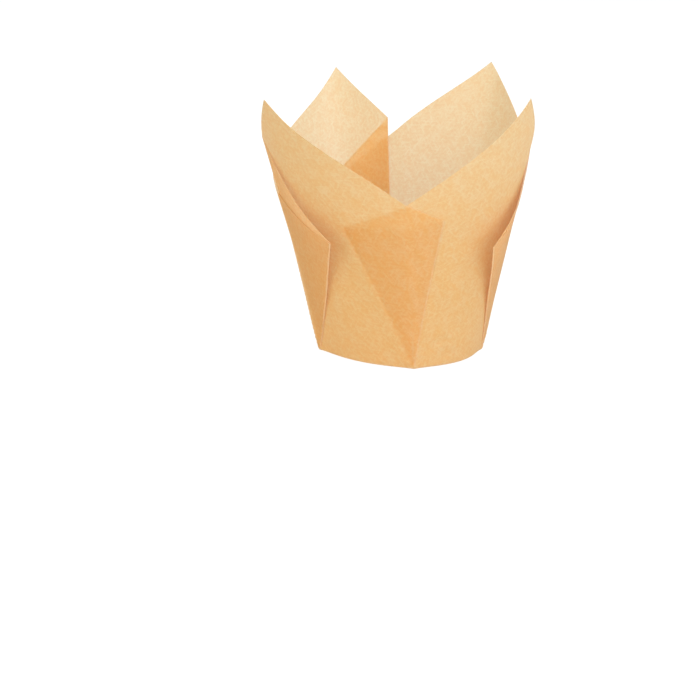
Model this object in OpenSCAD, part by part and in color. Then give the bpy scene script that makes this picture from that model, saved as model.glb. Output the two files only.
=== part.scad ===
// Tulip cupcake liner, folded from one square sheet of unbleached baking paper.
//
// The sheet is flat under the cake and is pressed up along a four-cornered base outline.
// Its four corners stand up as petals. The spare paper at the middle of each side
// is taken up by a knife pleat, which fans out from a corner of the base in three
// layers: the outer petal's paper, a strip that runs back, and the inner petal's paper.
//
// Words used below:
//   corner   0 front, 1 right, 2 back, 3 left, at the foot of each pleat
//   petal    0 front right, 1 back right, 2 back left, 3 front left, before corner + 1
//   turn     place round the cup, 0 to 4, a whole number at each corner
//   slant    distance up the paper from the base crease
//   reach    distance from the foot of a pleat
//   swing    angle round the foot of a pleat, 0 on the cup's corner line, positive
//            towards the inner petal

/* [Sheet] */
// Side of the square sheet
sheet_side = 150; // [140:1:165]
// How far the sheet lies off the base centre, towards the back
sheet_shift = 4.6; // [0:0.2:6]
// Thickness of the paper as a solid
paper_t = 0.2; // [0.12:0.02:0.3]

/* [Base] */
// Distance from the base centre to each of its corners, on the flat sheet
corner_reach = 24.2; // [21:0.1:27]

/* [Wall] */
// How sharply the walls turn at the base corners, from 0, rounded, to 1, pointed
corner_pinch = 0.75; // [0:0.05:1]
// How far the walls lean out, as a share of the lean seen
flare = 1; // [0.7:0.05:1.2]

/* [Pleats] */
// Half the spare angle taken up at the front pleat
front_pleat = 32.5; // [28:0.5:37]
// Half the spare angle taken up at the right pleat
right_pleat = 34.5; // [30:0.5:38]
// Half the spare angle taken up at the back pleat
back_pleat = 35.5; // [30:0.5:38]
// Half the spare angle taken up at the left pleat
left_pleat = 31.5; // [28:0.5:37]
// How far the front pleat is turned back past the corner line
front_tuck = 21; // [10:0.5:24]
// The same at the right pleat, where less than 0 is turned on past the line
right_tuck = -5; // [-7:0.5:0]
// The same at the back pleat
back_tuck = -3.5; // [-7:0.5:0]
// The same at the left pleat
left_tuck = -13.5; // [-16:0.5:0]
// Distance from layer to layer in a pressed pleat
layer_step = 0.5; // [0.4:0.05:0.8]
// How far the right pleat's folded edge stands off the wall
right_lift = 9; // [0:0.5:14]
// How far the left pleat's folded edge stands off the wall
left_lift = 7; // [0:0.5:14]

/* [Detail] */
// Columns of facets across a petal, an even number
petal_cols = 12; // [6:2:16]
// Columns of facets across a pleat
pleat_cols = 6; // [4:1:7]
// Rows of facets from the base crease to the free edge
rows = 15; // [8:1:16]

/* [Hidden] */

// Guide points of the base outline at each half turn: direction and share of the corner reach
base_guides = [
    [-81, 0.955], [-38, 0.93], [1, 1.04], [44, 0.72],
    [98, 0.83], [150, 1], [184, 1.1], [229, 0.835],
];
// Lean of the wall at the same guide points: direction and distance out for each step up
lean_guides = [
    [-102, 0.26], [-49, 0.275], [5, 0.2], [48, 0.3],
    [87, 0.215], [101, 0.4], [146, 0.31], [194, 0.32],
];

// Spare half angles, tucks and lifts in corner order
pleat_half = [front_pleat, right_pleat, back_pleat, left_pleat];
pleat_tuck = [front_tuck, right_tuck, back_tuck, left_tuck];
pleat_lift = [0, right_lift, 0, left_lift];
// At each corner, 1 if the petal before it is the outer one, and -1 if the petal after it is
outer_side = [1, -1, 1, 1];

// Distance from the base centre to each side of the sheet
side_reach = [
    for (corner = [0:3]) sheet_side / 2 - sheet_shift * cos(90 * corner)
];
// A square's diagonal as a share of its side
diagonal = sqrt(2);
// Distance from the base centre to the middle of a straight base side
side_mid = corner_reach / diagonal;
// Swing of the pleat's outer fold and of its inner fold
outer_fold = [for (corner = [0:3]) pleat_half[corner] - pleat_tuck[corner]];
inner_fold = [for (corner = [0:3]) -pleat_tuck[corner]];
// Swing from which a flap opens
open_from = [for (corner = [0:3]) max(0, inner_fold[corner])];
// How late a flap opens on the way to its free edge
open_power = 3;
// How far the facets of an inner layer fan out across its petal
inner_fan = 8;
// Swing at which the outer layer's facets begin and the inner layer's end, above the first row
outer_first = [for (corner = [0:3]) min(0, inner_fold[corner])];
inner_last = [for (corner = [0:3]) open_from[corner] + inner_fan];
// Reach at which the pleat's layers part from the foot
foot_reach = 3;
// Reach at which the layers have their full distance
full_reach = 14;
// Swing of the rounding at a fold, at its outer face and at its inner face
fold_round = 0.4;
fold_inside = 0.1;
// Thickness left at the foot of a pleat, as a share of the paper's
foot_share = 0.4;
// Share of a turn, each side of a corner, in which the walls are pinched
pinch_width = 0.5;
// Slant over which the pinch fades
pinch_fade = 25;
// How much closer the rows stand near the base
row_power = 1.2;
paper_color = "burlywood";

function wrap(index, count) = (index % count + count) % count;

function polar(guide, scale) =
    scale * guide[1] * [cos(guide[0]), sin(guide[0])];

base_points = [for (guide = base_guides) polar(guide, corner_reach)];
lean_points = [for (guide = lean_guides) polar(guide, flare)];

// Smooth closed curve through points that lie a half turn apart
function curve(points, turn) =
    let (
        place = 2 * turn,
        index = floor(place),
        part = place - index,
        before = points[wrap(index - 1, 8)],
        here = points[wrap(index, 8)],
        next = points[wrap(index + 1, 8)],
        after = points[wrap(index + 2, 8)]
    )
    0.5 * (2 * here + (next - before) * part
        + (2 * before - 5 * here + 4 * next - after) * part ^ 2
        + (3 * here - before - 3 * next + after) * part ^ 3);

// Direction in which that curve runs
function curve_run(points, turn) =
    let (
        place = 2 * turn,
        index = floor(place),
        part = place - index,
        before = points[wrap(index - 1, 8)],
        here = points[wrap(index, 8)],
        next = points[wrap(index + 1, 8)],
        after = points[wrap(index + 2, 8)]
    )
    (next - before)
        + 2 * (2 * before - 5 * here + 4 * next - after) * part
        + 3 * (3 * here - before - 3 * next + after) * part ^ 2;

// Straight lines through the same points
function straight(points, turn) =
    let (place = 2 * turn, index = floor(place), part = place - index)
    points[wrap(index, 8)] * (1 - part) + points[wrap(index + 1, 8)] * part;

// The base outline, pinched at its corners, at a slant up the wall
function outline(turn, slant) =
    let (
        past = abs(turn - round(turn)),
        pinch = corner_pinch * max(0, 1 - past / pinch_width) ^ 2 * exp(-slant / pinch_fade),
        smooth = curve(base_points, turn)
    )
    smooth + pinch * (straight(base_points, turn) - smooth);

// How much wider a wall grows on the flat sheet towards each corner line
function spread(corner) = tan(45 - pleat_half[wrap(corner, 4)]);

// A point of the cup's wall, set off by a distance along its outward normal
function wall(turn, slant, off) =
    let (
        petal = floor(turn),
        part = turn - petal,
        widen = spread(petal + 1) * part - spread(petal) * (1 - part),
        foot = outline(turn, slant),
        lean = curve(lean_points, turn),
        rise = sqrt(1 + widen ^ 2 - lean * lean),
        run = curve_run(base_points, turn) + slant * curve_run(lean_points, turn),
        normal = cross([run.x, run.y, 0], [lean.x, lean.y, rise])
    )
    [foot.x + slant * lean.x, foot.y + slant * lean.y, slant * rise]
        + off * normal / norm(normal);

// Place round the cup of a point on a petal's flat paper, across from its middle line
function petal_turn(petal, across, slant) =
    let (
        start = -side_mid - slant * spread(petal),
        end = side_mid + slant * spread(petal + 1)
    )
    petal + (across - start) / (end - start);

// A point of a pleat layer: which way is the corner's outer_side
function pleat_point(corner, reach, swing, off) =
    let (
        way = outer_side[corner],
        lean = 45 - pleat_half[corner] - abs(swing),
        slant = reach * cos(lean),
        across = side_mid + reach * sin(lean),
        ahead = way * swing >= 0,
        petal = ahead ? corner : wrap(corner - 1, 4),
        turn = petal_turn(petal, ahead ? -across : across, slant)
    )
    wall(turn, slant, off);

// Share of the full layer distance at a reach
function parting(reach) = min(1, reach / full_reach);

function thickness(reach) =
    min(paper_t, 0.8 * layer_step * parting(reach));

// Share of the way from the first row to the free edge
function row_share(row) = ((row - 1) / (rows - 1)) ^ row_power;

// Kinds of column
PETAL = 0;
OUTER = 1;
OUTER_FOLD = 2;
STRIP = 3;
INNER_FOLD = 4;
INNER = 5;

corner_cols = 3 * pleat_cols + 5;
side_cols = corner_cols + petal_cols - 1;

// The columns of one pleat, in sheet order from its outer petal to its inner one
pleat_columns = [
    for (i = [0:pleat_cols]) [OUTER, i],
    [OUTER_FOLD, pleat_cols],
    for (i = [pleat_cols:-1:0]) [STRIP, i],
    [INNER_FOLD, 0],
    for (i = [0:pleat_cols]) [INNER, i],
];

// All columns round the sheet: kind, place within it, corner or petal
columns = [
    for (corner = [0:3]) each [
        for (i = [0:corner_cols - 1])
            concat(pleat_columns[outer_side[corner] > 0 ? i : corner_cols - 1 - i], corner),
        for (i = [1:petal_cols - 1]) [PETAL, i, corner],
    ]
];

// How the edge of a pleat's facets leans on the petal at one end of it
function facet_lean(corner, is_outer) =
    let (c = wrap(corner, 4))
    tan(45 - pleat_half[c] - (is_outer ? -outer_first[c] : inner_last[c]));

function is_outer_after(corner) = outer_side[wrap(corner, 4)] < 0;
function is_outer_before(corner) = outer_side[wrap(corner, 4)] > 0;

// The petal columns' share of the way across, so that the middle one ends at the tip
function column_share(i, tip_share) =
    let (half = petal_cols / 2)
    i <= half ? tip_share * i / half : tip_share + (1 - tip_share) * (i - half) / half;

// A petal column's point on the flat paper: across, slant, and share of the way across
function petal_flat(petal, i, row) =
    let (
        lean_a = facet_lean(petal, is_outer_after(petal)),
        lean_b = facet_lean(petal + 1, is_outer_before(petal + 1)),
        reach_a = side_reach[petal] * diagonal - side_mid,
        reach_b = side_reach[wrap(petal + 1, 4)] * diagonal - side_mid,
        tip_across = (reach_b - reach_a) / 2,
        tip_slant = (reach_a + reach_b) / 2,
        tip_share = (tip_across + side_mid + tip_slant * lean_a)
            / (2 * side_mid + tip_slant * (lean_a + lean_b)),
        share = column_share(i, tip_share),
        across_foot = side_mid * (2 * share - 1),
        across_rate = lean_b * share - lean_a * (1 - share),
        end = min((reach_b - across_foot) / (1 + across_rate),
            (reach_a + across_foot) / (1 - across_rate)),
        slant = row == 0 ? 0 : foot_reach + (end - foot_reach) * row_share(row)
    )
    [across_foot + slant * across_rate, slant, share];

// Layers that lie under a petal's paper, from 0 to 2, at a share of the way across
function layers_under(petal, share) =
    2 * ((is_outer_after(petal) ? 1 - share : 0) + (is_outer_before(petal + 1) ? share : 0));

function petal_column_point(petal, i, row, face) =
    let (
        flat = petal_flat(petal, i, row),
        turn = petal_turn(petal, flat[0], flat[1]),
        under = layers_under(petal, flat[2]) * layer_step * parting(flat[1])
    )
    wall(turn, flat[1], under + face * paper_t);

// Direction on the flat sheet of a pleat column, from the line to the middle of the side
function sheet_angle(kind, swing, corner) =
    kind == OUTER || kind == OUTER_FOLD ? pleat_half[corner] - swing
        : kind == STRIP || kind == INNER_FOLD
            ? swing - pleat_half[corner] + 2 * pleat_tuck[corner]
            : -pleat_half[corner] - swing;

function pleat_column_point(kind, i, corner, row, face) =
    let (
        first = kind == OUTER && row > 1 ? outer_first[corner] : inner_fold[corner],
        last = kind == INNER && row > 1 ? inner_last[corner] : outer_fold[corner],
        swing = first + (last - first) * i / pleat_cols,
        end = (side_reach[corner] - corner_reach) / cos(sheet_angle(kind, swing, corner)),
        reach = foot_reach + (end - foot_reach) * row_share(row),
        step = layer_step * parting(reach),
        t = row == 1 ? step : thickness(reach),
        level = (INNER - kind) / 2,
        is_fold = kind == OUTER_FOLD || kind == INNER_FOLD,
        is_round_face = kind == OUTER_FOLD ? face == 1 : face == 0,
        bend = is_fold ? (is_round_face ? fold_round : fold_inside) : 0,
        bent_swing = swing + (kind == OUTER_FOLD ? bend : -bend),
        depth = is_fold ? t / 2 : kind == STRIP ? (1 - face) * t : face * t,
        open = kind == INNER ? 0
            : max(0, swing - open_from[corner]) / (outer_fold[corner] - open_from[corner]),
        rise = (reach - foot_reach) / (end - foot_reach),
        lift = pleat_lift[corner] * open ^ 2 * rise ^ open_power
    )
    pleat_point(corner, reach, bent_swing, level * step + depth + lift);

function column_point(column, row, face) =
    column[0] == PETAL
        ? petal_column_point(column[2], column[1], row, face)
        : pleat_column_point(column[0], column[1], column[2], row, face);

// The crease round the base: outer face on the table, inner face one thickness up
function crease_point(turn, face, t) =
    wall(turn, 0, face * t) * [[1, 0, 0], [0, 1, 0], [0, 0, 0]] + [0, 0, (1 - face) * t];

function column_turn(column) =
    column[0] == PETAL
        ? let (flat = petal_flat(column[2], column[1], 0)) petal_turn(column[2], flat[0], 0)
        : column[2];

column_count = len(columns);
row_points = column_count * rows;

// Points: both faces of every column, then both faces of the crease, then the centres
wall_points = [
    for (face = [1, 0]) for (column = columns) for (row = [1:rows])
        column_point(column, row, face)
];
crease_points = [
    for (face = [1, 0]) for (column = columns)
        crease_point(column_turn(column), face,
            column[0] == PETAL ? paper_t : foot_share * paper_t)
];
centre_points = [[0, 0, 0], [0, 0, paper_t]];
all_points = concat(wall_points, crease_points, centre_points);

// Which column holds a corner's first pleat column of a kind, in sheet order
function pleat_column_index(corner, kind, i) =
    let (
        place = kind == OUTER ? i
            : kind == OUTER_FOLD ? pleat_cols + 1
            : kind == STRIP ? 2 * pleat_cols + 2 - i
            : kind == INNER_FOLD ? 2 * pleat_cols + 3
            : 2 * pleat_cols + 4 + i
    )
    corner * side_cols + (outer_side[corner] > 0 ? place : corner_cols - 1 - place);

// In the first row the layers touch, so their facing points are one point
function row_one_column(index, face) =
    let (column = columns[index], kind = column[0], i = column[1], corner = column[2])
    face == 0 && kind == STRIP ? pleat_column_index(corner, OUTER, i)
        : face == 0 && kind == OUTER_FOLD ? pleat_column_index(corner, OUTER, pleat_cols)
        : face == 1 && kind == INNER ? pleat_column_index(corner, STRIP, i)
        : face == 1 && kind == INNER_FOLD ? pleat_column_index(corner, STRIP, 0)
        : index;

// All the columns of a pleat start from one point of the crease, its foot
function crease_index(index, face) =
    let (column = columns[index])
    2 * row_points + (1 - face) * column_count
        + (column[0] == PETAL ? index : column[2] * side_cols);

function point_index(index, row, face) =
    row == 0 ? crease_index(index, face)
        : (1 - face) * row_points
            + (row == 1 ? row_one_column(index, face) : index) * rows + row - 1;

// Layers that close on each other at the foot have no face there
function is_closed_foot(here, next, face) =
    let (
        a = columns[here][0],
        b = columns[next][0]
    )
    a != PETAL && b != PETAL
        && (face == 1 ? min(a, b) >= STRIP : max(a, b) <= STRIP);

function turned(face, triangle) =
    face == 1 ? triangle : [triangle[0], triangle[2], triangle[1]];

function is_whole(triangle) =
    triangle[0] != triangle[1] && triangle[1] != triangle[2] && triangle[0] != triangle[2];

wall_faces = [
    for (face = [1, 0])
        for (here = [0:column_count - 1])
            let (next = wrap(here + 1, column_count))
            for (row = [0:rows - 1])
                if (row > 0 || !is_closed_foot(here, next, face))
                    let (
                        a = point_index(here, row, face),
                        b = point_index(next, row, face),
                        c = point_index(next, row + 1, face),
                        d = point_index(here, row + 1, face)
                    )
                    each [turned(face, [a, d, c]), turned(face, [a, c, b])]
];

// The cut edge of the sheet all round, and the flat base
rim_faces = [
    for (here = [0:column_count - 1])
        let (
            next = wrap(here + 1, column_count),
            a = point_index(here, rows, 1),
            b = point_index(next, rows, 1),
            c = point_index(next, rows, 0),
            d = point_index(here, rows, 0)
        )
        each [[a, d, c], [a, c, b]]
];
base_faces = [
    for (face = [1, 0])
        for (here = [0:column_count - 1])
            let (
                next = wrap(here + 1, column_count),
                centre = len(all_points) - 1 - face
            )
            turned(face, [point_index(here, 0, face), point_index(next, 0, face), centre])
];

module liner() {
    color(paper_color)
        polyhedron(
            points = all_points,
            faces = [
                for (triangle = concat(wall_faces, rim_faces, base_faces))
                    if (is_whole(triangle)) triangle
            ]
        );
}

liner();
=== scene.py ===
"""Looks of a folded tulip cupcake liner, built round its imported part.

The liner is one square sheet of unbleached baking paper. It is made here as the real one is: a flat
grid is cut along its crease lines, and then every point is carried to its place on the folded cup.
Sizes are in millimetres on the sheet, as in the part's source, and the finished mesh is in metres.
"""

import logging
import math
from dataclasses import dataclass, field
from enum import Enum, IntEnum
from functools import cached_property
from typing import Any, Union

import bmesh
import bpy
from mathutils import Matrix, Vector, noise

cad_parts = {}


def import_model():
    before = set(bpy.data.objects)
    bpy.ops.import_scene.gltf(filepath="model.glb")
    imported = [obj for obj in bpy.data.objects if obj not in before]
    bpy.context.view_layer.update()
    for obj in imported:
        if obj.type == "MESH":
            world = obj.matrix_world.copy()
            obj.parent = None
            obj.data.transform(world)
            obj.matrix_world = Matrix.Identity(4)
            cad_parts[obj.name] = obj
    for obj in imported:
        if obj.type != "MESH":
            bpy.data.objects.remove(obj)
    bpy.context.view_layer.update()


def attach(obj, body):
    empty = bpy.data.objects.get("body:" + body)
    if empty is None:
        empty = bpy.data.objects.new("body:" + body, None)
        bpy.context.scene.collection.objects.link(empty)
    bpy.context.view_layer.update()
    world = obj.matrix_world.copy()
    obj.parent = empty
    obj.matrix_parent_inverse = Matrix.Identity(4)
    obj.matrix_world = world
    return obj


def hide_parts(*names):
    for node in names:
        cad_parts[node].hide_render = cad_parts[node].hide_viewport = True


MM = 0.001
ON_CREASE = 1e-4  # a point this near a base crease, in millimetres, is on it
TINY = 1e-6

log = logging.getLogger("liner")


class Corner(IntEnum):
    """Corners of the base, in order round the cup."""

    FRONT = 0
    RIGHT = 1
    BACK = 2
    LEFT = 3


class Layer(Enum):
    """Layers of a knife pleat."""

    OUTER = "outer"
    STRIP = "strip"
    INNER = "inner"


def smooth(low: float, high: float, value: float) -> float:
    """Smooth step.

    Args:
        low: Value at which the step begins.
        high: Value at which it is complete.
        value: Where to read it.

    Returns:
        0 up to low, 1 from high on, and a smooth curve between them.
    """
    part = min(1.0, max(0.0, (value - low) / (high - low)))
    return part * part * (3 - 2 * part)


@dataclass(frozen=True)
class Pleat:
    """One knife pleat, which fans out from a corner of the base.

    Attributes:
        corner: Corner at its foot.
        half: Half the spare angle that it takes up, in degrees.
        tuck: How far it is turned back past the corner line, in degrees.
        lift: How far its folded edge stands off the wall, in millimetres.
        outer_side: 1 if the petal before the corner lies outside, and -1 if the one after it does.
    """

    corner: Corner
    half: float
    tuck: float
    lift: float
    outer_side: int

    @property
    def outer_fold(self) -> float:
        """Swing of the outer fold, in degrees."""
        return self.half - self.tuck

    @property
    def inner_fold(self) -> float:
        """Swing of the inner fold, in degrees."""
        return -self.tuck

    def fold_angles(self) -> tuple[float, float]:
        """Directions of the outer and the inner fold on the flat sheet, in degrees."""
        return self.tuck, self.tuck - self.half

    def layer(self, angle: float) -> Layer:
        """Tells which layer a part of the flat sheet becomes.

        Args:
            angle: Direction on the flat sheet from the pleat's foot, in degrees.

        Returns:
            The layer.
        """
        outer, inner = self.fold_angles()
        if angle >= outer:
            return Layer.OUTER
        return Layer.STRIP if angle >= inner else Layer.INNER


@dataclass(frozen=True)
class CupForm:
    """The folded cup's form, and the way from the flat sheet to it. Sizes are in millimetres.

    Attributes:
        sheet_side: Side of the square sheet.
        sheet_shift: How far the sheet lies off the base centre, towards the back.
        paper_t: Thickness of the paper.
        corner_reach: Distance from the base centre to a base corner, on the flat sheet.
        layer_step: Distance between the layers of a pressed pleat.
        full_reach: Distance from a pleat's foot at which its layers have parted.
        relax_reach: Length over which the outer paper settles back on the wall.
        crease_radius: Radius of the base crease.
        base_guides: Directions, in degrees, and reaches of the base outline, as shares of
            corner_reach.
        lean_guides: Directions, in degrees, and amounts of the wall's outward lean.
        pleats: The four pleats, in the order of their corners.
        corner_pinch: How far the outline is drawn straight towards its corners.
        pinch_width: Share of a side that the pinch takes up.
        pinch_fade: Height over which the pinch fades.
        open_power: How fast the flaps open with their height.
        ripple_depth: Depth of the walls' slow unevenness.
        ripple_length: Length of its waves.
        ripple_rise: Distances up the paper between which it grows.
        wrinkle_depth: Depth of the pressed wrinkles at the front foot.
        wrinkle_spot: Middle of the wrinkles.
        wrinkle_lengths: Length of their waves along each axis.
        wrinkle_range: Distances from their middle between which they end.
        wrinkle_rise: Distances up the paper between which they grow.
        parting_start: Share of full_reach at which a pleat's layers would begin to part, which
            lies before its foot.
    """

    sheet_side: float = 150.0
    sheet_shift: float = 4.6
    paper_t: float = 0.1
    corner_reach: float = 24.2
    layer_step: float = 0.2
    full_reach: float = 5.0
    relax_reach: float = 6.0
    crease_radius: float = 0.25
    base_guides: tuple[tuple[float, float], ...] = (
        (-81, 0.955),
        (-38, 0.93),
        (1, 1.04),
        (44, 0.72),
        (98, 0.83),
        (150, 1.0),
        (184, 1.1),
        (229, 0.835),
    )
    lean_guides: tuple[tuple[float, float], ...] = (
        (-102, 0.26),
        (-49, 0.275),
        (5, 0.2),
        (48, 0.3),
        (87, 0.215),
        (101, 0.4),
        (146, 0.31),
        (194, 0.32),
    )
    pleats: tuple[Pleat, ...] = (
        Pleat(Corner.FRONT, half=32.5, tuck=21, lift=0, outer_side=1),
        Pleat(Corner.RIGHT, half=34.5, tuck=-5, lift=9, outer_side=-1),
        Pleat(Corner.BACK, half=35.5, tuck=-3.5, lift=0, outer_side=1),
        Pleat(Corner.LEFT, half=31.5, tuck=-13.5, lift=7, outer_side=1),
    )
    corner_pinch: float = 1.1
    pinch_width: float = 0.5
    pinch_fade: float = 25.0
    open_power: float = 3.0
    ripple_depth: float = 0.35
    ripple_length: float = 21.0
    ripple_rise: tuple[float, float] = (2, 30)
    wrinkle_depth: float = 0.5
    wrinkle_spot: tuple[float, float, float] = (10.0, -19.0, 6.0)
    wrinkle_lengths: tuple[float, float, float] = (5.0, 5.0, 1.5)
    wrinkle_range: tuple[float, float] = (3, 12)
    wrinkle_rise: tuple[float, float] = (0.4, 3)
    parting_start: float = -0.5

    @cached_property
    def side_mid(self) -> float:
        """Distance from the base centre to the middle of a base side, on the flat sheet."""
        return self.corner_reach / math.sqrt(2)

    @staticmethod
    def way(degrees: float) -> Vector:
        """Direction on the flat sheet, in degrees from the x axis."""
        angle = math.radians(degrees)
        return Vector((math.cos(angle), math.sin(angle), 0))

    def petal_way(self, petal: int) -> Vector:
        """Direction from the base centre to the middle of a base side."""
        return self.way(90 * petal - 45)

    def corner_way(self, corner: int) -> Vector:
        """Direction from the base centre to a base corner."""
        return self.way(90 * corner - 90)

    def fold_ways(self, pleat: Pleat) -> list[Vector]:
        """Directions of a pleat's two folds from its foot."""
        toward = 90 * pleat.corner - 90
        return [self.way(toward - pleat.outer_side * fold) for fold in pleat.fold_angles()]

    @cached_property
    def base_points(self) -> list[Vector]:
        """Guide points of the base outline."""
        return [self.polar(guide, self.corner_reach) for guide in self.base_guides]

    @cached_property
    def lean_points(self) -> list[Vector]:
        """The wall's lean at the guide points."""
        return [self.polar(guide, 1.0) for guide in self.lean_guides]

    def polar(self, guide: tuple[float, float], scale: float) -> Vector:
        """Point in the direction guide[0], in degrees, at guide[1] times scale."""
        return self.way(guide[0]).to_2d() * (guide[1] * scale)

    @staticmethod
    def curve(points: list[Vector], turn: float) -> tuple[Vector, Vector]:
        """Smooth closed curve through points that lie a half turn apart.

        Args:
            points: The guide points.
            turn: Place round the cup, 0 to 4.

        Returns:
            The point of the curve, and the direction in which it runs.
        """
        place = 2 * turn
        index = math.floor(place)
        part = place - index
        before, here, after, beyond = (points[(index + k) % 8] for k in (-1, 0, 1, 2))
        first = after - before
        second = 2 * before - 5 * here + 4 * after - beyond
        third = 3 * here - before - 3 * after + beyond
        point = (2 * here + first * part + second * part**2 + third * part**3) * 0.5
        return point, first + 2 * part * second + 3 * part**2 * third

    def outline(self, turn: float, slant: float) -> tuple[Vector, Vector]:
        """The base outline, pinched at its corners, at a slant up the wall.

        Args:
            turn: Place round the cup, 0 to 4.
            slant: Distance up the paper from the base crease.

        Returns:
            The outline's point, and the direction in which it runs.
        """
        point, run = self.curve(self.base_points, turn)
        index = math.floor(2 * turn)
        here, after = self.base_points[index % 8], self.base_points[(index + 1) % 8]
        straight = here.lerp(after, 2 * turn - index)
        past = abs(turn - round(turn)) / self.pinch_width
        fade = math.exp(-max(0.0, slant) / self.pinch_fade)
        pinch = self.corner_pinch * max(0.0, 1 - past) * fade
        return point.lerp(straight, pinch), run

    def spread(self, corner: int) -> float:
        """How much wider a wall grows on the flat sheet towards a corner line, for each step up."""
        return math.tan(math.radians(45 - self.pleats[corner % 4].half))

    def wall(self, turn: float, slant: float, off: float) -> Vector:
        """A point of the cup's wall.

        Args:
            turn: Place round the cup, 0 to 4, a whole number at each corner.
            slant: Distance up the paper from the base crease.
            off: Distance along the outward normal.

        Returns:
            The point, in millimetres.
        """
        petal = math.floor(turn)
        part = turn - petal
        widen = self.spread(petal + 1) * part - self.spread(petal) * (1 - part)
        foot, foot_run = self.outline(turn, slant)
        lean, lean_run = self.curve(self.lean_points, turn)
        rise = math.sqrt(1 + widen**2 - lean.length_squared)
        run = foot_run + slant * lean_run
        normal = run.to_3d().cross(Vector((lean.x, lean.y, rise))).normalized()
        radius = self.crease_radius
        up = max(0.0, slant) + radius * math.log1p(math.exp(-abs(slant) / radius))
        back = (up - slant) / self.side_mid
        plan = foot * max(0.0, 1 - back) + up * lean
        point = Vector((plan.x, plan.y, up * rise))
        bulge = off + self.ripple(point, up)
        return point + bulge * normal

    def ripple(self, point: Vector, slant: float) -> float:
        """Unevenness of the wall, which is none at the base crease.

        Args:
            point: A point of the even wall, in millimetres.
            slant: Its distance up the paper from the base crease.

        Returns:
            How far the wall swells there: slow waves all round, and wrinkles at the front foot.
        """
        depth = self.ripple_depth * smooth(*self.ripple_rise, slant)
        slow = depth * noise.noise(point / self.ripple_length)
        far = (point - Vector(self.wrinkle_spot)).length
        near = 1 - smooth(*self.wrinkle_range, far)
        lines = Vector([value / length for value, length in zip(point, self.wrinkle_lengths)])
        sharp = self.wrinkle_depth * near * smooth(*self.wrinkle_rise, slant)
        return slow + sharp * noise.noise(lines)

    def petal_turn(self, petal: int, across: float, slant: float) -> float:
        """Place round the cup of a point on a petal's flat paper.

        Args:
            petal: The petal's number, 0 to 3.
            across: The point's distance along the base side from its middle.
            slant: Its distance up the paper from the base crease.

        Returns:
            The place, 0 to 4, a whole number at each corner.
        """
        start = -self.side_mid - slant * self.spread(petal)
        end = self.side_mid + slant * self.spread(petal + 1)
        return petal + (across - start) / (end - start)

    def pleat_wall(self, pleat: Pleat, reach: float, swing: float, off: float) -> Vector:
        """A point of the wall beside a pleat.

        Args:
            pleat: The pleat.
            reach: Distance along the wall from the pleat's foot.
            swing: Angle along the wall from the corner line, in degrees, positive on the side
                to which the outer petal's fold is turned.
            off: Distance along the outward normal.

        Returns:
            The point, in millimetres.
        """
        lean = math.radians(45 - pleat.half - abs(swing))
        slant = reach * math.cos(lean)
        across = self.side_mid + reach * math.sin(lean)
        is_ahead = pleat.outer_side * swing >= 0
        petal = pleat.corner if is_ahead else (pleat.corner - 1) % 4
        turn = self.petal_turn(petal, -across if is_ahead else across, slant)
        return self.wall(turn, slant, off)

    def side_reach(self, corner: int) -> float:
        """Distance from the base centre to one side of the sheet."""
        return self.sheet_side / 2 - self.sheet_shift * math.cos(math.pi / 2 * corner)

    def covered(self, pleat: Pleat, swing: float, reach: float) -> float:
        """How many layers lie under the outer petal's paper, eased off past the inner fold."""
        past = math.radians(pleat.inner_fold - swing) * reach
        return 2 * (1 - smooth(0, self.relax_reach, past))

    def lifted(self, pleat: Pleat, swing: float, reach: float) -> float:
        """How far a pleat's flap stands off the wall.

        Args:
            pleat: The pleat.
            swing: Angle along the wall from the corner line, in degrees.
            reach: Distance along the wall from the pleat's foot.

        Returns:
            The distance, in millimetres.
        """
        start = max(0.0, pleat.inner_fold)
        if swing <= start or not pleat.lift:
            return 0.0
        full = self.side_reach(pleat.corner) - self.corner_reach
        opened = (swing - start) / (pleat.outer_fold - start)
        return pleat.lift * opened**2 * (reach / full) ** self.open_power

    def parting(self, reach: float) -> float:
        """How far a pleat's layers have parted at a reach from its foot, up to 1."""
        return smooth(self.parting_start, 1, reach / self.full_reach)

    def pleat_place(self, pleat: Pleat, reach: float, angle: float) -> Vector:
        """Where the folded cup holds a point near a pleat.

        Args:
            pleat: The pleat.
            reach: The point's distance from the pleat's foot on the flat sheet.
            angle: Its direction there, from the line to the middle of the side, in degrees,
                positive towards the outer petal.

        Returns:
            The point, in millimetres.
        """
        step = self.layer_step * self.parting(reach)
        round_r = step / 2
        half_arc = math.pi / 2 * round_r
        layer = pleat.layer(angle)
        outer, inner = (math.radians(angle - a) * reach for a in pleat.fold_angles())
        if abs(outer) < half_arc:
            bend = math.pi / 2 * outer / half_arc
            swing = pleat.outer_fold - math.degrees((half_arc - round_r * math.cos(bend)) / reach)
            level = 1.5 + math.sin(bend) / 2
        elif abs(inner) < half_arc:
            bend = math.pi / 2 * inner / half_arc
            swing = pleat.inner_fold + math.degrees((half_arc - round_r * math.cos(bend)) / reach)
            level = 0.5 + math.sin(bend) / 2
        elif layer is Layer.OUTER:
            swing = pleat.half - angle
            level = self.covered(pleat, swing, reach)
        elif layer is Layer.STRIP:
            swing = angle + pleat.half - 2 * pleat.tuck
            level = 1.0
        else:
            swing = -pleat.half - angle
            level = 0.0
        lift = 0.0 if layer is Layer.INNER else self.lifted(pleat, swing, reach)
        return self.pleat_wall(pleat, reach, swing, level * step + lift)

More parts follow.
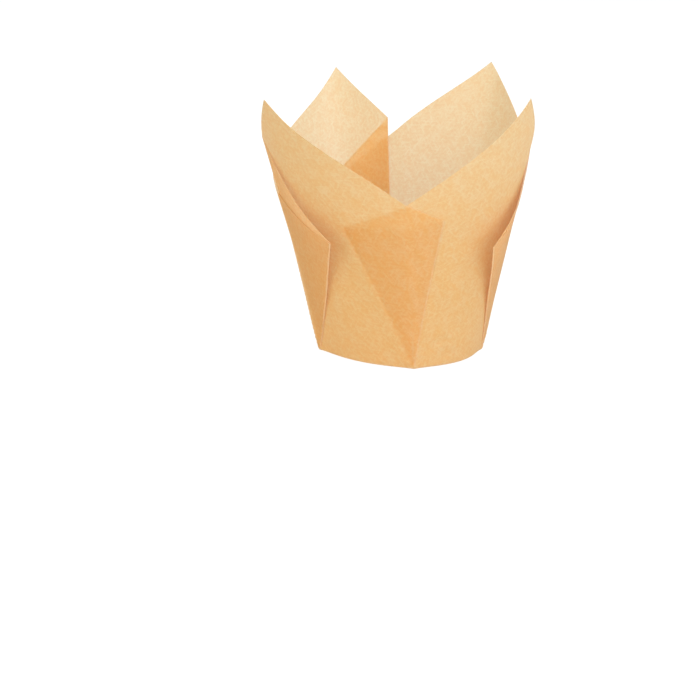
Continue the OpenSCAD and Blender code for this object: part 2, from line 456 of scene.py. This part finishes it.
    def petal_place(self, petal: int, across: float, slant: float) -> Vector:
        """Where the folded cup holds a point of a petal's middle part.

        Args:
            petal: The petal's number, 0 to 3.
            across: The point's distance along the base side from its middle.
            slant: Its distance up the paper from the base crease.

        Returns:
            The point, in millimetres. It lies over a pleat's layers where the petal is outside.
        """
        step = 0.0
        for corner, way, side in ((petal, -1, -1), ((petal + 1) % 4, 1, 1)):
            pleat = self.pleats[corner]
            if pleat.outer_side != way:
                continue
            past = self.side_mid - side * across
            reach = math.hypot(past, slant)
            swing = -(45 - pleat.half + math.degrees(math.atan2(past, slant)))
            step += self.covered(pleat, swing, reach) * self.layer_step * self.parting(reach)
        return self.wall(self.petal_turn(petal, across, slant), slant, step)

    def place(self, flat: Vector) -> Vector:
        """Carries a point of the flat sheet to the folded cup.

        Args:
            flat: The point, from the base centre, with z unused.

        Returns:
            The point on the paper's inner face, in millimetres.
        """
        is_base = self.corner_reach - abs(flat.x) - abs(flat.y) > -ON_CREASE
        for petal in range(4):
            out = self.petal_way(petal).to_2d()
            slant = flat.x * out.x + flat.y * out.y - self.side_mid
            across = flat.y * out.x - flat.x * out.y
            if is_base and abs(across) <= slant + self.side_mid + TINY:
                share = across / max(slant + self.side_mid, TINY)
                return self.wall(petal + (share + 1) / 2, slant, 0)
            if not is_base and slant >= 0 and abs(across) <= self.side_mid:
                return self.petal_place(petal, across, slant)
        for pleat in self.pleats:
            out = self.corner_way(pleat.corner).to_2d()
            along = flat.x * out.x + flat.y * out.y - self.corner_reach
            aside = flat.y * out.x - flat.x * out.y
            if along > 0 and abs(aside) <= along + TINY:
                angle = -pleat.outer_side * math.degrees(math.atan2(aside, along))
                return self.pleat_place(pleat, math.hypot(along, aside), angle)
        raise ValueError(f"no place on the cup for {flat}")


Operand = Union["Value", float]


class Value:
    """A shader socket that Python expressions can work with."""

    def __init__(self, graph: "ShaderGraph", socket: bpy.types.NodeSocket | None) -> None:
        """Wraps an output socket of a graph's node."""
        self.graph = graph
        self.socket = socket

    def output(self, name: str) -> "Value":
        """Another output of the same node."""
        return Value(self.graph, self.socket.node.outputs[name])

    def math(self, operation: str, *others: Operand, is_clamped: bool = False) -> "Value":
        """Adds a Math node.

        Args:
            operation: What the node does.
            *others: Its values or links after this one.
            is_clamped: Whether the result is kept between 0 and 1.

        Returns:
            The result.
        """
        inputs = dict(enumerate((self, *others)))
        settings = {"operation": operation, "use_clamp": is_clamped}
        return self.graph.node("ShaderNodeMath", settings, inputs)

    def __add__(self, other: Operand) -> "Value":
        """Sum."""
        return self.math("ADD", other)

    __radd__ = __add__

    def __sub__(self, other: Operand) -> "Value":
        """Difference."""
        return self.math("SUBTRACT", other)

    def __rsub__(self, other: float) -> "Value":
        """Difference from a number."""
        return self.math("MULTIPLY_ADD", -1.0, other)

    def __mul__(self, other: Operand) -> "Value":
        """Product."""
        return self.math("MULTIPLY", other)

    __rmul__ = __mul__

    def clamped(self) -> "Value":
        """Kept between 0 and 1."""
        return self.math("ADD", 0.0, is_clamped=True)

    def larger(self, other: Operand) -> "Value":
        """The larger of two values."""
        return self.math("MAXIMUM", other)

    def step(self, low: float, high: float) -> "Value":
        """0 below low, 1 above high, and smooth between them."""
        inputs = {"Value": self, "From Min": low, "From Max": high}
        return self.graph.node("ShaderNodeMapRange", {"interpolation_type": "SMOOTHSTEP"}, inputs)


class ShaderGraph:
    """Makes the nodes of one material or world."""

    MIX_FACTOR, MIX_A, MIX_B, MIX_COLOR = 0, 6, 7, 2

    def __init__(self, tree: bpy.types.NodeTree) -> None:
        """Starts from an empty tree."""
        self.tree = tree
        tree.nodes.clear()

    def node(
        self,
        kind: str,
        settings: dict[str, Any] | None = None,
        inputs: dict[Any, Any] | None = None,
        output: str | int = 0,
    ) -> Value:
        """Adds a node.

        Args:
            kind: The node's type.
            settings: Its properties, set first.
            inputs: Values or links of its sockets, by name or number.
            output: The output to return.

        Returns:
            That output, wrapped.
        """
        node = self.tree.nodes.new(kind)
        for name, value in (settings or {}).items():
            setattr(node, name, value)
        for name, value in (inputs or {}).items():
            if isinstance(value, Value):
                self.tree.links.new(value.socket, node.inputs[name])
            else:
                node.inputs[name].default_value = value
        outputs = node.outputs
        return Value(self, outputs[output]) if len(outputs) else Value(self, None)

    def blend(self, factor: Operand, first: Any, second: Any) -> Value:
        """Mixes two colours."""
        inputs = {self.MIX_FACTOR: factor, self.MIX_A: first, self.MIX_B: second}
        return self.node("ShaderNodeMix", {"data_type": "RGBA"}, inputs, self.MIX_COLOR)

    def noise(self, vector: Value, scale: float, detail: float, roughness: float) -> Value:
        """Noise between about 0.2 and 0.8, finer with scale and rougher with detail."""
        inputs = {"Vector": vector, "Scale": scale, "Detail": detail, "Roughness": roughness}
        return self.node("ShaderNodeTexNoise", {}, inputs, "Fac")


def rgba(red: float, green: float, blue: float) -> tuple[float, float, float, float]:
    """Scene colour of a colour as written for the screen.

    Args:
        red: Red, 0 to 1.
        green: Green, 0 to 1.
        blue: Blue, 0 to 1.

    Returns:
        The linear colour with full alpha.
    """
    linear = [
        part / 12.92 if part <= 0.04045 else ((part + 0.055) / 1.055) ** 2.4
        for part in (red, green, blue)
    ]
    return linear[0], linear[1], linear[2], 1.0


@dataclass(frozen=True)
class BakingPaper:
    """Unbleached baking paper: fibrous, mottled, satin and translucent.

    Attributes:
        pale: Colour of the thin flecks.
        deep: Colour of the dense flecks.
        crease: Colour that the folds wear to.
        crease_wear: Share of that colour on a fold.
        glow: Colour of the light that comes through.
        see_through: Middle share of the light that passes.
        see_through_range: Change of that share between dense and pale flecks.
        roughness: Middle roughness.
        satin_range: Change of the roughness over the grain.
        shine: Level of the mirrored light.
        cloud_weight: Share of the large clouds in the mottle.
        fleck_weight: Share of the small flecks.
        mottle_level: Level at which the mottle is deep.
        cloud_relief: Height of the clouds.
        grain_relief: Height of the grain.
        fibre_relief: Height of the fibres.
        bump_strength: Strength of the relief.
        bump_depth: Depth of the relief, in metres.
        fibre_angles: Directions of the fibres, in radians.
        fibre_size: Length and width of a fibre, in millimetres.
        fibre_range: Levels of the noise between which a fibre begins.
        fibre_weight: Share of the fibres in the mottle and the relief.
        uv_map: Name of the map of the flat sheet.
        crease_mark: Name of the mark of the folds.
    """

    pale: tuple[float, float, float] = (0.988, 0.892, 0.652)
    deep: tuple[float, float, float] = (0.953, 0.775, 0.455)
    crease: tuple[float, float, float] = (0.99, 0.94, 0.80)
    crease_wear: float = 0.2
    glow: tuple[float, float, float] = (0.986, 0.902, 0.835)
    see_through: float = 0.51
    see_through_range: float = 0.08
    roughness: float = 0.52
    satin_range: float = 0.2
    shine: float = 0.35
    cloud_weight: float = 1.6
    fleck_weight: float = 2.8
    mottle_level: float = 1.93
    cloud_relief: float = 0.3
    grain_relief: float = 0.4
    fibre_relief: float = 0.5
    bump_strength: float = 0.25
    bump_depth: float = 0.00012
    fibre_angles: tuple[float, ...] = (0.35, 1.4, 2.45)
    fibre_size: tuple[float, float] = (3.5, 0.65)
    fibre_range: tuple[float, float] = (0.52, 0.75)
    fibre_weight: float = 0.6
    uv_map: str = "sheet"
    crease_mark: str = "crease"

    def material(self, sheet_side: float) -> bpy.types.Material:
        """Builds the paper.

        Args:
            sheet_side: Side of the flat sheet in millimetres, which the UV map spans.

        Returns:
            The material.
        """
        material = bpy.data.materials.new("baking_paper")
        material.use_nodes = True
        graph = ShaderGraph(material.node_tree)
        uv = graph.node("ShaderNodeUVMap", {"uv_map": self.uv_map})
        sheet = graph.node(
            "ShaderNodeVectorMath", {"operation": "SCALE"}, {0: uv, "Scale": sheet_side}
        )
        cloud = graph.noise(sheet, scale=0.3, detail=4, roughness=0.6)
        flecks = graph.noise(sheet, scale=1.0, detail=3, roughness=0.7)
        grain = graph.noise(sheet, scale=2.6, detail=2, roughness=0.6)
        fibres = self.fibres(graph, sheet)
        clouds = cloud * self.cloud_weight + flecks * self.fleck_weight
        mottle = (clouds + fibres - self.mottle_level).clamped()
        worn = graph.node("ShaderNodeAttribute", {"attribute_name": self.crease_mark}, {}, "Fac")
        body = graph.blend(mottle, rgba(*self.deep), rgba(*self.pale))
        color = graph.blend(worn * self.crease_wear, body, rgba(*self.crease))
        felt = cloud * self.cloud_relief + grain * self.grain_relief
        relief = felt + fibres * self.fibre_relief
        surface = {
            "Strength": self.bump_strength,
            "Distance": self.bump_depth,
            "Height": relief,
        }
        bump = graph.node("ShaderNodeBump", {}, surface, "Normal")
        satin = grain * self.satin_range + (self.roughness - self.satin_range / 2)
        looks = {
            "Base Color": color,
            "Roughness": satin.clamped(),
            "Specular IOR Level": self.shine,
            "Normal": bump,
        }
        paper = graph.node("ShaderNodeBsdfPrincipled", {}, looks)
        glow = graph.node("ShaderNodeBsdfTranslucent", {}, {"Color": rgba(*self.glow)})
        thin = mottle * self.see_through_range
        through = thin + (self.see_through - self.see_through_range / 2)
        inside = graph.node("ShaderNodeNewGeometry", {}, {}, "Backfacing")
        factor = (through + inside).clamped()
        mixed = graph.node("ShaderNodeMixShader", {}, {0: factor, 1: paper, 2: glow})
        graph.node("ShaderNodeOutputMaterial", {}, {"Surface": mixed})
        return material

    def fibres(self, graph: ShaderGraph, sheet: Value) -> Value:
        """Fine fibres in three directions.

        Args:
            graph: The material's graph.
            sheet: Place on the flat sheet, in millimetres.

        Returns:
            0 between the fibres, and more where they cross.
        """
        total: Operand = 0.0
        size = (*self.fibre_size, 1)
        for angle in self.fibre_angles:
            turned = graph.node(
                "ShaderNodeMapping",
                {"vector_type": "TEXTURE"},
                {"Vector": sheet, "Rotation": (0, 0, angle), "Scale": size},
            )
            strands = graph.noise(turned, scale=1.0, detail=2, roughness=0.5)
            total = strands.step(*self.fibre_range) + total
        return total * self.fibre_weight


@dataclass
class LinerSheet:
    """The paper sheet, cut flat, creased and folded to the cup. Sizes are in millimetres.

    Attributes:
        form: The cup's form.
        finish: The paper.
        cells: Cells along a side of the flat grid.
        crease_lines: Distances from a base crease of the cuts that make it round.
        fold_lines: The same for a pleat's fold.
        edge_inset: Width of the narrow border along the sheet's edges.
        crease_width: Distance from a fold at which its wear ends.
        crease_core: Distance up to which a fold is fully worn.
        near: Distance from a crease or fold up to which faces are cut.
        past_corner: How far a base crease's cuts run past the base corner.
        past_foot: How far a fold's cuts run back past the pleat's foot.
        weld: Distance at which a cut goes through a vertex that is there.
    """

    form: CupForm = field(default_factory=CupForm)
    finish: BakingPaper = field(default_factory=BakingPaper)
    cells: int = 188
    crease_lines: tuple[float, ...] = (-0.3, 0.0, 0.3)
    fold_lines: tuple[float, ...] = (-0.6, -0.157, -0.08, 0.0, 0.08, 0.157, 0.6)
    edge_inset: float = 0.15
    crease_width: float = 0.7
    crease_core: float = 0.1
    near: float = 2.0
    past_corner: float = 1.5
    past_foot: float = 0.8
    weld: float = 0.01

    def build(self) -> bpy.types.Object:
        """Builds the folded sheet.

        Returns:
            The finished piece.
        """
        flat = bmesh.new()
        half = self.form.sheet_side / 2
        shift = Matrix.Translation((0, self.form.sheet_shift, 0))
        bmesh.ops.create_grid(
            flat, x_segments=self.cells, y_segments=self.cells, size=half, matrix=shift
        )
        self.cut_edges(flat, half)
        self.cut_creases(flat)
        self.mark(flat, half)
        for vertex in flat.verts:
            vertex.co = self.form.place(vertex.co) * MM
            vertex.co.z += self.form.paper_t * MM
        for face in flat.faces:
            face.smooth = True
        mesh = bpy.data.meshes.new("liner_paper")
        flat.to_mesh(mesh)
        flat.free()
        piece = bpy.data.objects.new("liner_paper", mesh)
        bpy.context.scene.collection.objects.link(piece)
        thick = piece.modifiers.new("paper thickness", "SOLIDIFY")
        thick.thickness = self.form.paper_t * MM
        thick.offset = -1
        mesh.materials.append(self.finish.material(self.form.sheet_side))
        return piece

    def cut_edges(self, flat: bmesh.types.BMesh, half: float) -> None:
        """Cuts a narrow border along the sheet's edges, so that its shading stays flat.

        Args:
            flat: The sheet.
            half: Half its side.
        """
        inset = half - self.edge_inset
        for way in (Vector((1, 0, 0)), Vector((0, 1, 0))):
            for side in (-inset, inset):
                point = way * side + Vector((0, self.form.sheet_shift, 0))
                self.cut(flat, list(flat.faces), point, way)

    def cut_creases(self, flat: bmesh.types.BMesh) -> None:
        """Cuts the sheet along the base creases and the folds of the pleats.

        Args:
            flat: The sheet.
        """
        side_mid = self.form.side_mid
        for petal in range(4):
            out = self.form.petal_way(petal)
            run = Vector((-out.y, out.x, 0))
            for away in self.crease_lines:
                near = [
                    face
                    for face in flat.faces
                    if abs(face.calc_center_median().dot(out) - side_mid) < self.near
                    and abs(face.calc_center_median().dot(run)) < side_mid + self.past_corner
                ]
                self.cut(flat, near, out * (side_mid + away), out)
        for pleat in self.form.pleats:
            foot = self.form.corner_way(pleat.corner) * self.form.corner_reach
            for run in self.form.fold_ways(pleat):
                out = Vector((-run.y, run.x, 0))
                for away in self.fold_lines:
                    near = []
                    for face in flat.faces:
                        spot = face.calc_center_median() - foot
                        if abs(spot.dot(out)) < self.near and spot.dot(run) > -self.past_foot:
                            near.append(face)
                    self.cut(flat, near, foot + out * away, out)

    def cut(
        self,
        flat: bmesh.types.BMesh,
        faces: list[bmesh.types.BMFace],
        point: Vector,
        normal: Vector,
    ) -> None:
        """Cuts some faces of the flat sheet along a line.

        Args:
            flat: The sheet.
            faces: Faces that may be cut.
            point: A point of the line.
            normal: Direction across the line.
        """
        edges = {edge for face in faces for edge in face.edges}
        verts = {vertex for face in faces for vertex in face.verts}
        bmesh.ops.bisect_plane(
            flat,
            geom=[*verts, *edges, *faces],
            dist=self.weld,
            plane_co=point,
            plane_no=normal,
        )

    def mark(self, flat: bmesh.types.BMesh, half: float) -> None:
        """Gives the sheet its UV map and the mark of its worn creases.

        Args:
            flat: The sheet.
            half: Half its side.
        """
        uv = flat.loops.layers.uv.new(self.finish.uv_map)
        crease = flat.verts.layers.float.new(self.finish.crease_mark)
        for face in flat.faces:
            for loop in face.loops:
                spot = loop.vert.co
                loop[uv].uv = (
                    (spot.x + half) / (2 * half),
                    (spot.y - self.form.sheet_shift + half) / (2 * half),
                )
        for vertex in flat.verts:
            away = self.crease_distance(vertex.co)
            vertex[crease] = 1 - smooth(self.crease_core, self.crease_width, away)

    def crease_distance(self, flat: Vector) -> float:
        """Distance on the flat sheet to the nearest crease or fold.

        Args:
            flat: A point of the sheet.

        Returns:
            The distance.
        """
        inside = self.form.corner_reach - abs(flat.x) - abs(flat.y)
        distance = abs(inside) / math.sqrt(2)
        for pleat in self.form.pleats:
            spot = flat - self.form.corner_way(pleat.corner) * self.form.corner_reach
            for run in self.form.fold_ways(pleat):
                if spot.dot(run) > 0:
                    distance = min(distance, abs(spot.x * run.y - spot.y * run.x))
        return distance


@dataclass(frozen=True)
class Lamp:
    """A soft square lamp.

    Attributes:
        name: The lamp's name.
        place: Where it stands, in metres.
        size: Its side, in metres.
        power: Its power in watts.
        color: Its colour.
    """

    name: str
    place: tuple[float, float, float]
    size: float
    power: float
    color: tuple[float, float, float]

    def build(self, target: Vector) -> None:
        """Adds the lamp.

        Args:
            target: The point at which it aims, in metres.
        """
        lamp = bpy.data.lights.new(self.name, "AREA")
        lamp.shape = "SQUARE"
        lamp.size = self.size
        lamp.energy = self.power
        lamp.color = self.color
        holder = bpy.data.objects.new(self.name, lamp)
        holder.location = self.place
        aim = target - Vector(self.place)
        holder.rotation_euler = aim.to_track_quat("-Z", "Y").to_euler()
        bpy.context.scene.collection.objects.link(holder)


@dataclass
class Studio:
    """Pale floor, soft lamps, white surroundings and the camera.

    Attributes:
        eye: The camera's place, in metres.
        yaw: Its turn from the y axis, in degrees, positive to the right.
        pitch: How far it looks down, in degrees.
        lens: Its focal length, in millimetres.
        sensor: Width of its sensor, in millimetres.
        nearest: Distance at which it begins to see, in metres.
        surround: Strength of the surroundings as light.
        through_light: The same for light that the paper lets through.
        through_floor: Strength of the floor for light that the paper lets through.
        surround_tint: Colour of the surroundings as light.
        floor_tint: Colour of the floor for light that the paper lets through.
        floor_size: Half the floor's side, in metres.
        floor_color: The floor's own colour.
        floor_white: Strength of the white with which the floor is seen.
        floor_share: Share of the floor's own look that the white or the tint replaces.
        target: Point at which the lamps aim, in metres.
        lamps: The lamps.
    """

    eye: tuple[float, float, float] = (0.0, -0.4484, 0.1250)
    yaw: float = -2.16
    pitch: float = 15.61
    lens: float = 74.63
    sensor: float = 36.0
    nearest: float = 0.01
    surround: float = 0.78
    through_light: float = 0.46
    through_floor: float = 1.5
    surround_tint: tuple[float, float, float] = (0.94, 1.0, 0.86)
    floor_tint: tuple[float, float, float] = (0.57, 0.83, 1.0)
    floor_size: float = 3.0
    floor_color: tuple[float, float, float] = (0.92, 0.92, 0.92)
    floor_white: float = 1.12
    floor_share: float = 0.85
    target: tuple[float, float, float] = (0.0, 0.0, 0.045)
    lamps: tuple[Lamp, ...] = (
        Lamp("key", (0.52, -0.84, 0.4), size=1.0, power=8.5, color=(0.76, 0.75, 1.0)),
        Lamp("fill", (-0.68, -0.72, 0.3), size=1.0, power=3.4, color=(1.0, 0.56, 0.08)),
        Lamp("back", (-0.45, 0.8, 0.3), size=0.36, power=3.0, color=(0.42, 0.68, 1.0)),
    )

    def build(self) -> None:
        """Sets up the whole studio."""
        self.add_camera()
        self.add_world()
        self.add_floor()
        for lamp in self.lamps:
            lamp.build(Vector(self.target))
        bpy.context.scene.view_settings.view_transform = "Standard"

    def add_camera(self) -> None:
        """Puts the camera at the photograph's viewing angle."""
        camera = bpy.data.cameras.new("camera")
        camera.lens = self.lens
        camera.sensor_width = self.sensor
        camera.clip_start = self.nearest
        yaw, pitch = math.radians(self.yaw), math.radians(self.pitch)
        look = Vector(
            (math.sin(yaw) * math.cos(pitch), math.cos(yaw) * math.cos(pitch), -math.sin(pitch))
        )
        holder = bpy.data.objects.new("camera", camera)
        holder.location = self.eye
        holder.rotation_euler = look.to_track_quat("-Z", "Y").to_euler()
        bpy.context.scene.collection.objects.link(holder)
        bpy.context.scene.camera = holder

    def ray_kinds(self, graph: ShaderGraph) -> tuple[Value, Value]:
        """Tells apart the rays that show the surroundings.

        Args:
            graph: The graph that asks.

        Returns:
            1 for rays seen or mirrored, and 1 for rays that the paper lets through.
        """
        path = graph.node("ShaderNodeLightPath")
        seen = path.output("Is Camera Ray").larger(path.output("Is Glossy Ray"))
        return seen, path.output("Is Transmission Ray")

    def add_world(self) -> None:
        """Makes the surroundings white to look at and softer as light."""
        world = bpy.data.worlds.new("surroundings")
        world.use_nodes = True
        graph = ShaderGraph(world.node_tree)
        is_seen, is_through = self.ray_kinds(graph)
        light = is_through * (self.through_light - self.surround) + self.surround
        tint = (*self.surround_tint, 1.0)
        soft = graph.node("ShaderNodeBackground", {}, {"Color": tint, "Strength": light})
        seen = graph.node("ShaderNodeBackground", {}, {"Color": (1, 1, 1, 1), "Strength": 1.0})
        mixed = graph.node("ShaderNodeMixShader", {}, {0: is_seen, 1: soft, 2: seen})
        graph.node("ShaderNodeOutputWorld", {}, {"Surface": mixed})
        bpy.context.scene.world = world

    def add_floor(self) -> None:
        """Adds the pale floor, which keeps the liner's shadow."""
        material = bpy.data.materials.new("floor")
        material.use_nodes = True
        graph = ShaderGraph(material.node_tree)
        matt = graph.node("ShaderNodeBsdfDiffuse", {}, {"Color": rgba(*self.floor_color)})
        pure = {"Color": (1, 1, 1, 1), "Strength": self.floor_white}
        white = graph.node("ShaderNodeEmission", {}, pure)
        tinted = {"Color": (*self.floor_tint, 1.0), "Strength": self.through_floor}
        glow = graph.node("ShaderNodeEmission", {}, tinted)
        is_seen, is_through = self.ray_kinds(graph)
        under, over = is_through * self.floor_share, is_seen * self.floor_share
        lit = graph.node("ShaderNodeMixShader", {}, {0: under, 1: matt, 2: glow})
        mixed = graph.node("ShaderNodeMixShader", {}, {0: over, 1: lit, 2: white})
        graph.node("ShaderNodeOutputMaterial", {}, {"Surface": mixed})
        plane = bmesh.new()
        bmesh.ops.create_grid(plane, x_segments=1, y_segments=1, size=self.floor_size)
        mesh = bpy.data.meshes.new("floor")
        plane.to_mesh(mesh)
        plane.free()
        mesh.materials.append(material)
        floor = bpy.data.objects.new("floor", mesh)
        bpy.context.scene.collection.objects.link(floor)


def main() -> None:
    """Builds the liner and its studio in order."""
    logging.basicConfig(level=logging.INFO, format="%(message)s")
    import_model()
    Studio().build()
    log.info("studio: camera, surroundings, floor and lamps")
    sheet = LinerSheet()
    paper = sheet.build()
    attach(paper, "root")
    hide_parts("liner")
    log.info("%s: %d faces", paper.name, len(paper.data.polygons))


if __name__ == "__main__":
    main()
